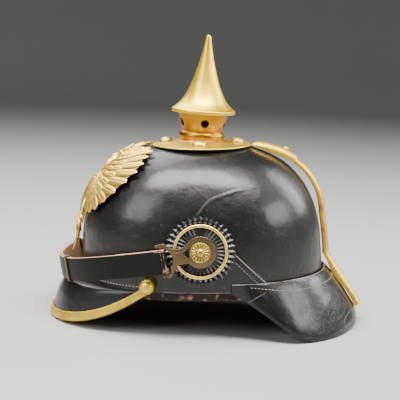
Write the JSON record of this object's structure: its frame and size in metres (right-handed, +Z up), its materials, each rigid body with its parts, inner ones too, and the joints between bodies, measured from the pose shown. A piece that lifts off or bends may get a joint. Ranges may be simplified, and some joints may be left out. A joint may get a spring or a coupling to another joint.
{
  "type": "spiked leather helmet",
  "caption": "Hollow black leather dress helmet with front and rear visors, brass edging and rear spine, eagle plate, pleated cockades, chin strap and a tall brass spike on a round base.",
  "frame": {"origin": "bottom centre of the bounding box, on the surface that the helmet rests on", "axes": "+Z up, -Y towards the front visor, +X towards the wearer's left"},
  "size_m": [0.195, 0.2795, 0.2499],
  "materials": {
    "black_leather": "lacquered, worn gloss",
    "strap_leather": "smooth black face, tan cut edges",
    "brown_leather": "worn, dull",
    "pleated_black": "black lacquer over stamped pleats",
    "brass": "aged satin",
    "gilt_brass": "stamped, matt gilt",
    "dark_brass": "dull brown patina"
  },
  "bodies": {
    "helmet": {"skull": "black_leather", "front_visor": "black_leather", "rear_visor": "black_leather", "sweatband": "brown_leather", "chin_strap_left": "strap_leather", "chin_strap_right": "strap_leather", "visor_trim": "brass", "trim_ball_left": "brass", "trim_ball_right": "brass", "spike_base": "brass", "base_stud_left": "brass", "base_stud_rear": "brass", "base_stud_right": "brass", "base_stud_front": "brass", "spike_neck": "brass", "spike": "brass", "rear_spine": "brass", "spine_cap": "brass", "front_plate": "gilt_brass", "strap_slide_left": "dark_brass", "strap_slide_right": "dark_brass", "cockade_left": "pleated_black", "cockade_right": "pleated_black", "cockade_ring_left": "brass", "cockade_ring_right": "brass", "strap_eye_left": "dark_brass", "strap_eye_right": "dark_brass", "rosette_left": "brass", "rosette_right": "brass"},
    "vent": {"vent_slider": "brass", "vent_knob": "brass"}
  },
  "joints": [
    {"name": "vent_slide", "type": "hinge", "parent": "helmet", "child": "vent", "pos_m": [0, 0.04197, 0.09373], "axis": [-1, 0, 0], "range_deg": [0, 9.5]}
  ]
}
